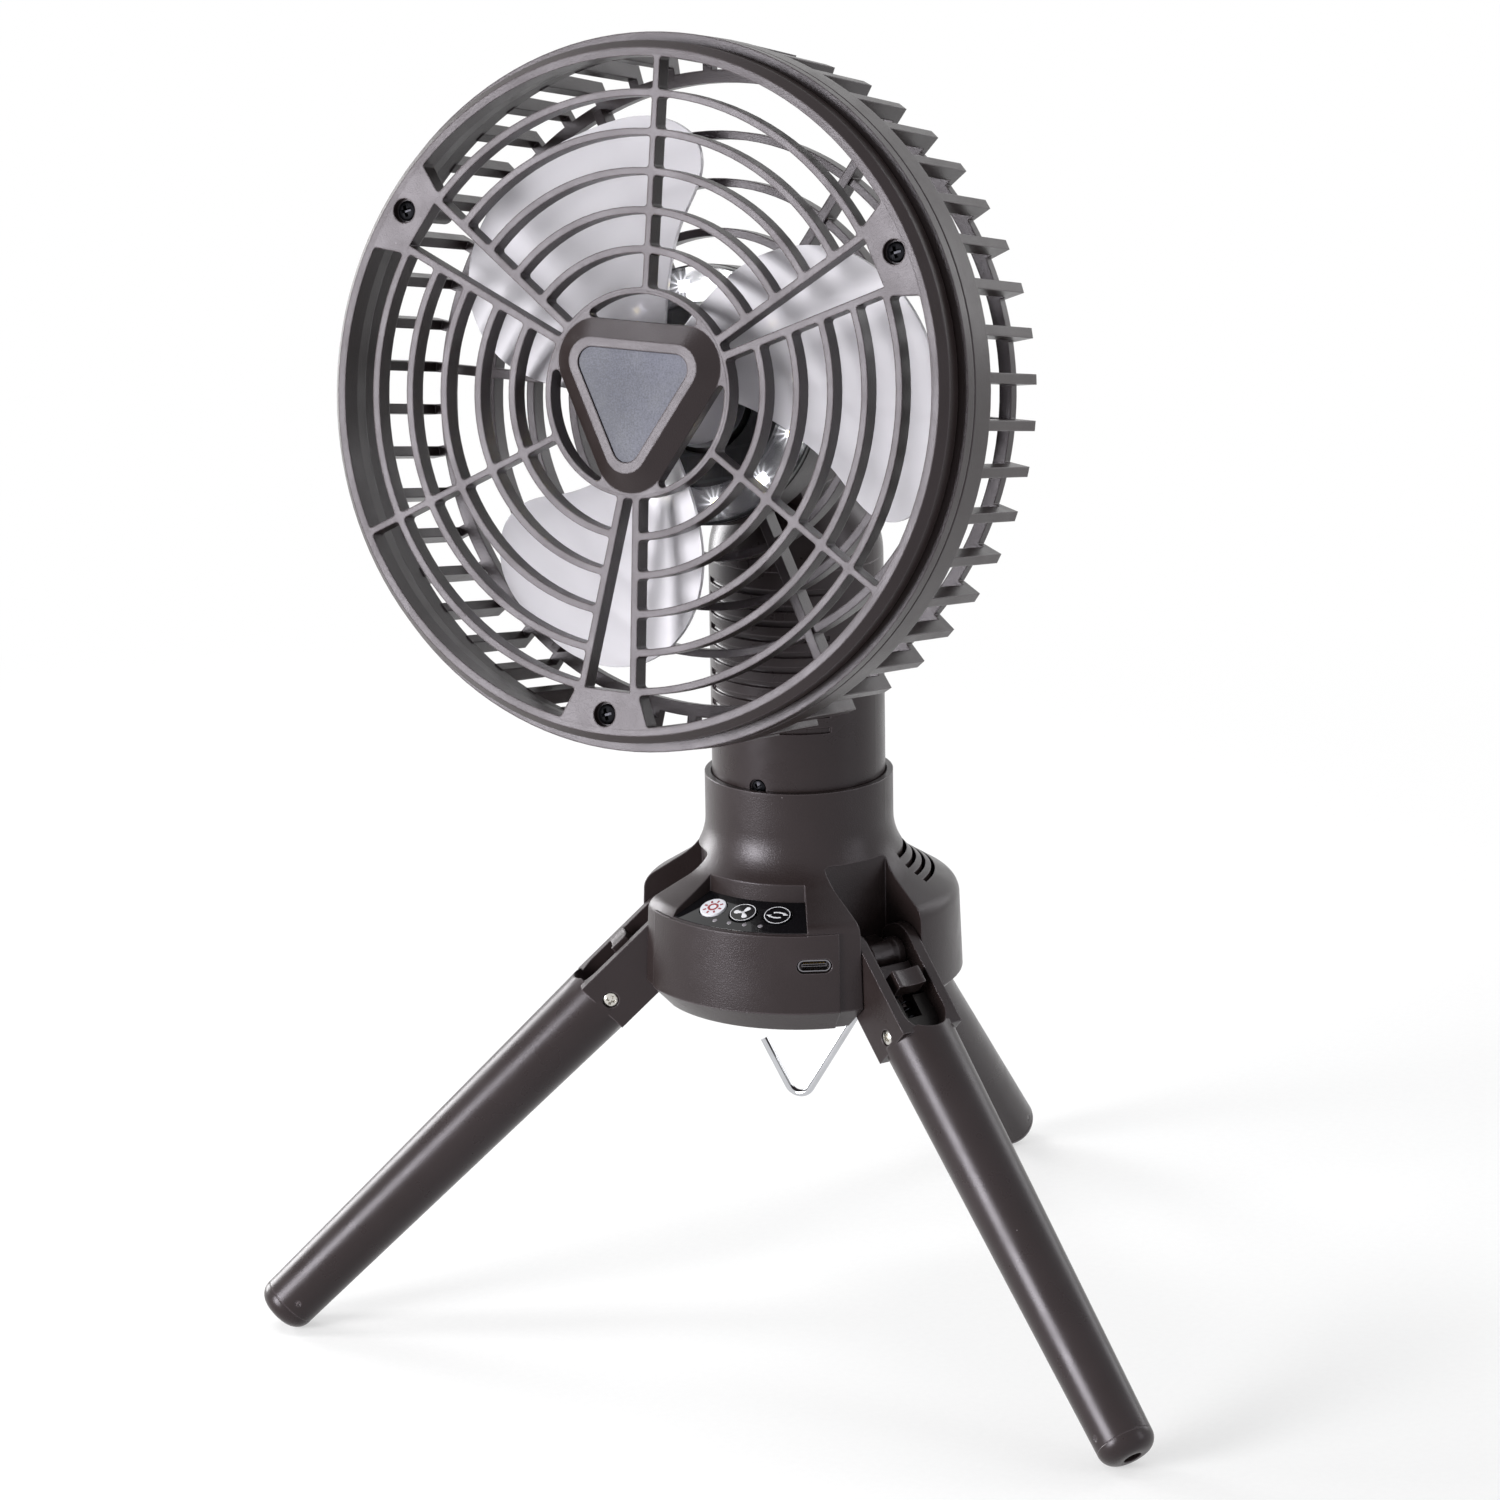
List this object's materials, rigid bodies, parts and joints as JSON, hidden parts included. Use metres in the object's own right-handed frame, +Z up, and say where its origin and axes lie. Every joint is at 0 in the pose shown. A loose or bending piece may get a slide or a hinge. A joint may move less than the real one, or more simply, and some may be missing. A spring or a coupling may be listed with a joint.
{
  "type": "portable camping fan",
  "caption": "Rechargeable tripod camping fan: round caged fan head with a ring of lamps tilts on a battery column that swings on a base with folding legs and a wire hanging hook.",
  "frame": {"origin": "on the ground under the column's axis, in the plane the feet stand on", "axes": "+Z up along the column, -Y to the control panel's side; legs at 210, 330 and 90 degrees"},
  "size_m": [0.2684, 0.261, 0.3714],
  "materials": {
    "housing": "satin dark warm grey-brown moulded ABS",
    "panel_black": "glossy black",
    "button_white": "glossy white",
    "blade": "translucent pale lavender grey",
    "slate": "fine textured slate grey",
    "chrome": "polished",
    "steel": "bright",
    "black_screw": "black zinc",
    "board": "printed circuit board",
    "motor": "pressed steel can",
    "cell": "sleeved cell",
    "led": "lit white LED",
    "lens": "clear",
    "inner_plastic": "black moulded",
    "washer": "natural acetal"
  },
  "bodies": {
    "base": {"base_shell": "housing", "base_bottom": "housing", "base_screws": "black_screw", "swivel_washer": "washer", "control_panel": "panel_black", "indicator_lenses": "lens", "button_board": "board", "tact_switches": "inner_plastic", "main_board": "board", "usb_port": "steel", "charge_board": "board", "swing_motor": "motor", "leg_barrels": "housing", "leg_pins": "steel"},
    "column": {"column_tube": "housing", "column_head": "housing", "tilt_washers": "washer", "battery_cells": "cell", "battery_frame": "inner_plastic", "column_screw": "black_screw", "swivel_retainer": "inner_plastic", "retainer_screws": "steel", "swing_shaft": "steel"},
    "head": {"front_grille": "housing", "emblem_plate": "slate", "grille_screws": "black_screw", "rear_grille": "housing", "fan_motor": "motor", "led_board": "board", "leds": "led", "led_lens": "lens", "motor_cover": "housing", "cover_screws": "black_screw", "tilt_bolt": "steel"},
    "rotor": {"fan_rotor": "blade", "rotor_shaft": "steel"},
    "hook": {"hanging_hook": "chrome"},
    "left_leg": {"left_leg_tube": "housing", "left_leg_core": "housing", "left_leg_latch_spring": "steel", "left_leg_foot": "housing", "left_leg_screws": "steel"},
    "left_latch": {"left_leg_latch": "housing"},
    "right_leg": {"right_leg_tube": "housing", "right_leg_core": "housing", "right_leg_latch_spring": "steel", "right_leg_foot": "housing", "right_leg_screws": "steel"},
    "right_latch": {"right_leg_latch": "housing"},
    "rear_leg": {"rear_leg_tube": "housing", "rear_leg_core": "housing", "rear_leg_latch_spring": "steel", "rear_leg_foot": "housing", "rear_leg_screws": "steel"},
    "rear_latch": {"rear_leg_latch": "housing"},
    "light_button": {"light_button": "button_white"},
    "fan_button": {"fan_button": "panel_black"},
    "swing_button": {"swing_button": "panel_black"}
  },
  "joints": [
    {"name": "column_swing", "type": "hinge", "parent": "base", "child": "column", "pos_m": [0, 0, 0.14646], "axis": [0, 0, 1], "range_deg": [-42.1, 47.9]},
    {"name": "head_tilt", "type": "hinge", "parent": "column", "child": "head", "pos_m": [-0.00101, -0.01997, 0.26396], "axis": [-0.9987, 0.0506, 0], "range_deg": [-18, 77]},
    {"name": "rotor_spin", "type": "hinge", "parent": "head", "child": "rotor", "pos_m": [-0.00327, -0.06452, 0.27686], "axis": [-0.0495, -0.9778, 0.2036], "continuous": true},
    {"name": "hook_swing", "type": "hinge", "parent": "base", "child": "hook", "pos_m": [0, 0, 0.09756], "axis": [-1, 0, 0], "range_deg": [0, 90]},
    {"name": "left_leg_fold", "type": "hinge", "parent": "base", "child": "left_leg", "pos_m": [-0.03161, -0.01825, 0.11316], "axis": [-0.5, 0.866, 0], "range_deg": [0, 95]},
    {"name": "left_latch_slide", "type": "slide", "parent": "left_leg", "child": "left_latch", "axis": [-0.6234, -0.3599, -0.6942], "range_m": [0, 0.0025], "stiffness_N_per_m": 400, "springref_m": -0.003, "deforming": ["left_leg_latch_spring"]},
    {"name": "right_leg_fold", "type": "hinge", "parent": "base", "child": "right_leg", "pos_m": [0.03161, -0.01825, 0.11316], "axis": [-0.5, -0.866, 0], "range_deg": [0, 95]},
    {"name": "right_latch_slide", "type": "slide", "parent": "right_leg", "child": "right_latch", "axis": [0.6234, -0.3599, -0.6942], "range_m": [0, 0.0025], "stiffness_N_per_m": 400, "springref_m": -0.003, "deforming": ["right_leg_latch_spring"]},
    {"name": "rear_leg_fold", "type": "hinge", "parent": "base", "child": "rear_leg", "pos_m": [0, 0.0365, 0.11316], "axis": [1, 0, 0], "range_deg": [0, 95]},
    {"name": "rear_latch_slide", "type": "slide", "parent": "rear_leg", "child": "rear_latch", "axis": [0, 0.7198, -0.6942], "range_m": [0, 0.0025], "stiffness_N_per_m": 400, "springref_m": -0.003, "deforming": ["rear_leg_latch_spring"]},
    {"name": "light_button_press", "type": "slide", "parent": "base", "child": "light_button", "axis": [0.0963, 0.3519, -0.9311], "range_m": [0, 0.0004], "stiffness_N_per_m": 1500, "springref_m": -0.0003},
    {"name": "fan_button_press", "type": "slide", "parent": "base", "child": "fan_button", "axis": [0, 0.3649, -0.9311], "range_m": [0, 0.0004], "stiffness_N_per_m": 1500, "springref_m": -0.0003},
    {"name": "swing_button_press", "type": "slide", "parent": "base", "child": "swing_button", "axis": [-0.0963, 0.3519, -0.9311], "range_m": [0, 0.0004], "stiffness_N_per_m": 1500, "springref_m": -0.0003}
  ]
}
